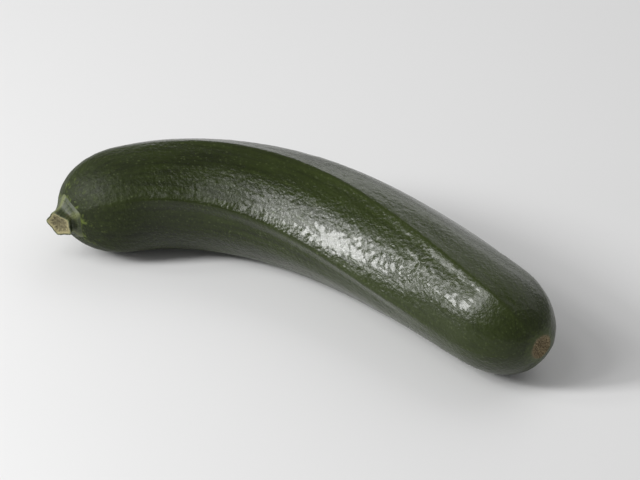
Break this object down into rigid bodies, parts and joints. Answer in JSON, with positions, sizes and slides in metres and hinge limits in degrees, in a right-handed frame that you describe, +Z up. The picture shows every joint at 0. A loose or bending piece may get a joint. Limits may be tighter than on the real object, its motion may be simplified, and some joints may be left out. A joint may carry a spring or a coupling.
{
  "type": "courgette",
  "caption": "Whole dark green courgette with soft lengthwise ribs, hooked near its stem and lying on its side, with a short cut stem stub and a small blossom scar.",
  "frame": {"origin": "on the surface it lies on, under the centre of its bounding box", "axes": "+X from the stem towards the blossom end, +Y towards the outer side of the bend, +Z up as it lies"},
  "size_m": [0.239, 0.0836, 0.0507],
  "materials": {
    "skin": "waxy gloss, dark green, with small paler flecks",
    "stem": "matt, pale green ridges and a dried cut face"
  },
  "bodies": {
    "root": {"fruit": "skin", "stem": "stem"}
  },
  "joints": []
}
